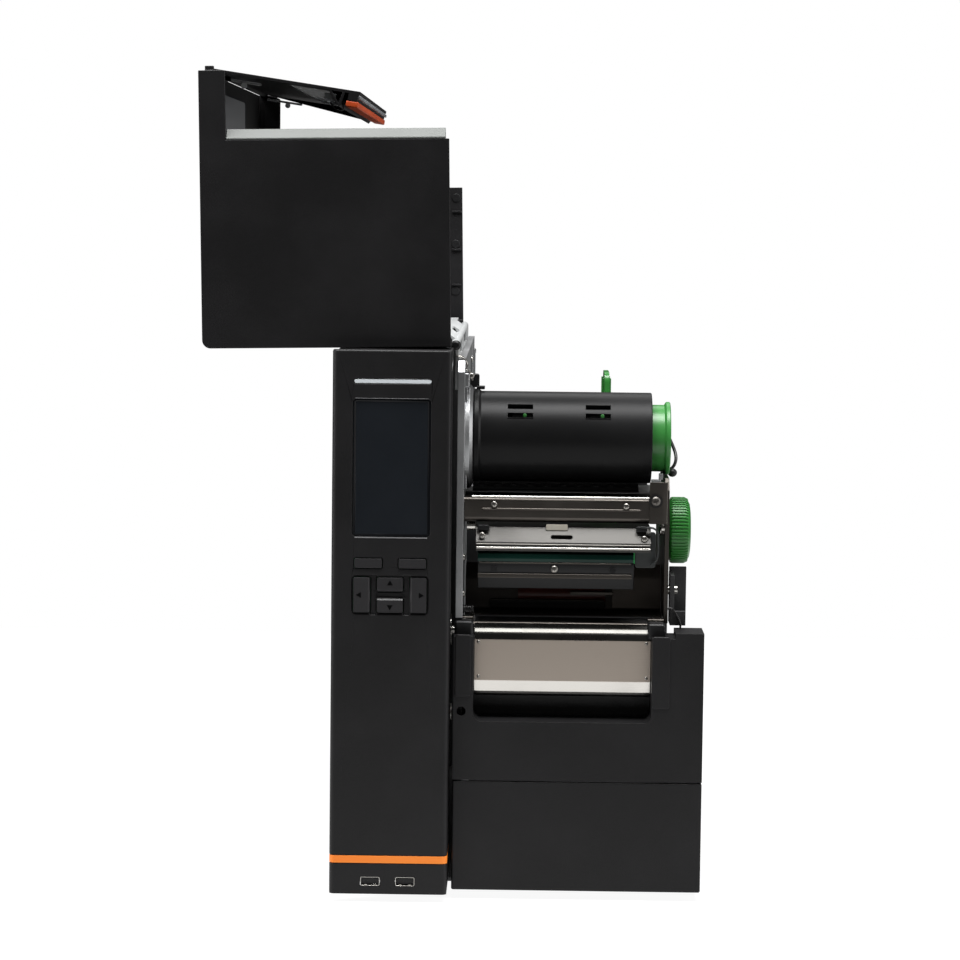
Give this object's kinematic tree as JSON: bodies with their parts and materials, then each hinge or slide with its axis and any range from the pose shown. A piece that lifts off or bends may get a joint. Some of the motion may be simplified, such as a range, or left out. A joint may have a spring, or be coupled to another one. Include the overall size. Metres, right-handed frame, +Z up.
{
  "type": "label printer",
  "caption": "Industrial label printer with a touch-panel tower and a bi-fold media cover swung open over it, showing the ribbon drum, print head, platen and tear plate.",
  "frame": {"origin": "on the table under the middle of the printer's overall box with the cover open; X=0 is the cover hinge line", "axes": "+Z up, -Y is the front with the screen, +X towards the media side"},
  "size_m": [0.3613, 0.5118, 0.5897],
  "materials": {
    "black_plastic": "finely textured moulded plastic",
    "satin_black": "satin moulded plastic",
    "key_grey": "matte keycap",
    "dark_glass": "dark touch panel, switched off",
    "white_lens": "frosted light guide",
    "orange_plastic": "satin orange",
    "satin_aluminium": "satin anodised",
    "aluminium": "bead blasted",
    "die_cast": "die-cast, as cast",
    "steel": "brushed, plated",
    "chrome": "polished",
    "green_plastic": "translucent green",
    "clear_window": "clear acrylic",
    "rubber": "matte",
    "black_sheet": "powder coated",
    "circuit_board": "green solder mask"
  },
  "bodies": {
    "chassis": {"base_tray": "black_sheet", "foot_front_left": "rubber", "foot_front_right": "rubber", "foot_rear_left": "rubber", "foot_rear_right": "rubber", "front_tower": "black_plastic", "display_glass": "dark_glass", "display_module": "satin_aluminium", "status_light_bar": "white_lens", "accent_stripe": "orange_plastic", "control_board": "circuit_board", "electronics_cover": "black_plastic", "rear_panel": "black_sheet", "power_inlet": "satin_black", "network_port": "steel", "main_board": "circuit_board", "power_supply": "steel", "drive_motor": "black_sheet", "drive_belt": "rubber", "centre_frame": "die_cast", "lower_front_cover": "black_plastic", "bottom_front_cover": "black_plastic", "right_side_panel": "black_plastic", "rear_wall": "black_plastic", "tear_plate": "chrome", "platen_frame": "steel", "head_bracket": "steel", "side_plate": "steel", "ribbon_comb": "steel", "latch_bracket": "satin_black", "media_spindle": "satin_black", "hinge_base_leaf": "steel", "hinge_pin": "steel", "usb_port_left": "steel", "usb_port_right": "steel"},
    "soft_key_left": {"key_soft_left": "key_grey"},
    "soft_key_right": {"key_soft_right": "key_grey"},
    "left_key": {"key_left": "key_grey"},
    "right_key": {"key_right": "key_grey"},
    "up_key": {"key_up": "key_grey"},
    "down_key": {"key_down": "key_grey"},
    "rocker": {"power_rocker": "satin_black"},
    "platen": {"platen_roller": "rubber", "platen_shaft": "steel"},
    "motor_shaft": {"motor_pulley": "aluminium"},
    "print_head": {"head_plate": "aluminium", "thermal_strip": "green_plastic", "head_block": "satin_black"},
    "knob": {"head_knob": "green_plastic"},
    "take_up": {"take_up_drum": "satin_black", "take_up_cap": "green_plastic"},
    "supply": {"supply_drum": "satin_black"},
    "guard": {"media_guard": "green_plastic"},
    "cover": {"cover_shell": "black_plastic", "cover_trim": "satin_aluminium", "hinge_cover_leaf": "steel"},
    "door": {"door_panel": "black_plastic", "door_window": "clear_window", "door_grip": "orange_plastic", "door_pin": "steel"}
  },
  "joints": [
    {"name": "cover_hinge", "type": "hinge", "parent": "chassis", "child": "cover", "pos_m": [0, 0, 0.3936], "axis": [0, 1, 0], "range_deg": [0, 181.07]},
    {"name": "door_fold", "type": "hinge", "parent": "cover", "child": "door", "pos_m": [-0.17304, 0, 0.587], "axis": [0, -1, 0], "range_deg": [0, 99.4]},
    {"name": "soft_left_press", "type": "slide", "parent": "chassis", "child": "soft_key_left", "axis": [0, 1, 0], "range_m": [0, 0.0008], "stiffness_N_per_m": 1200},
    {"name": "soft_right_press", "type": "slide", "parent": "chassis", "child": "soft_key_right", "axis": [0, 1, 0], "range_m": [0, 0.0008], "stiffness_N_per_m": 1200},
    {"name": "left_press", "type": "slide", "parent": "chassis", "child": "left_key", "axis": [0, 1, 0], "range_m": [0, 0.0008], "stiffness_N_per_m": 1200},
    {"name": "right_press", "type": "slide", "parent": "chassis", "child": "right_key", "axis": [0, 1, 0], "range_m": [0, 0.0008], "stiffness_N_per_m": 1200},
    {"name": "up_press", "type": "slide", "parent": "chassis", "child": "up_key", "axis": [0, 1, 0], "range_m": [0, 0.0008], "stiffness_N_per_m": 1200},
    {"name": "down_press", "type": "slide", "parent": "chassis", "child": "down_key", "axis": [0, 1, 0], "range_m": [0, 0.0008], "stiffness_N_per_m": 1200},
    {"name": "rocker_tilt", "type": "hinge", "parent": "chassis", "child": "rocker", "pos_m": [-0.056, 0.2495, 0.096], "axis": [1, 0, 0], "range_deg": [0, 20]},
    {"name": "platen_spin", "type": "hinge", "parent": "chassis", "child": "platen", "pos_m": [0.08, -0.192, 0.1875], "axis": [1, 0, 0], "continuous": true},
    {"name": "motor_spin", "type": "hinge", "parent": "chassis", "child": "motor_shaft", "pos_m": [-0.004, -0.15, 0.12], "axis": [1, 0, 0], "continuous": true},
    {"name": "head_lift", "type": "hinge", "parent": "chassis", "child": "print_head", "pos_m": [0.08, -0.116, 0.262], "axis": [1, 0, 0], "range_deg": [0, 12]},
    {"name": "knob_turn", "type": "hinge", "parent": "chassis", "child": "knob", "pos_m": [0.164, -0.18, 0.261], "axis": [1, 0, 0], "range_deg": [0, 90]},
    {"name": "take_up_spin", "type": "hinge", "parent": "chassis", "child": "take_up", "pos_m": [0.08, -0.17, 0.327], "axis": [1, 0, 0], "continuous": true},
    {"name": "supply_spin", "type": "hinge", "parent": "chassis", "child": "supply", "pos_m": [0.08, -0.062, 0.322], "axis": [1, 0, 0], "continuous": true},
    {"name": "guard_slide", "type": "slide", "parent": "chassis", "child": "guard", "axis": [1, 0, 0], "range_m": [-0.09, 0.03]}
  ],
  "couplings": [
    {"joint": "door_fold", "follows": "cover_hinge", "ratio": 0.54896},
    {"joint": "knob_turn", "follows": "head_lift", "ratio": 7.5},
    {"joint": "motor_spin", "follows": "platen_spin", "ratio": 1.4286}
  ]
}
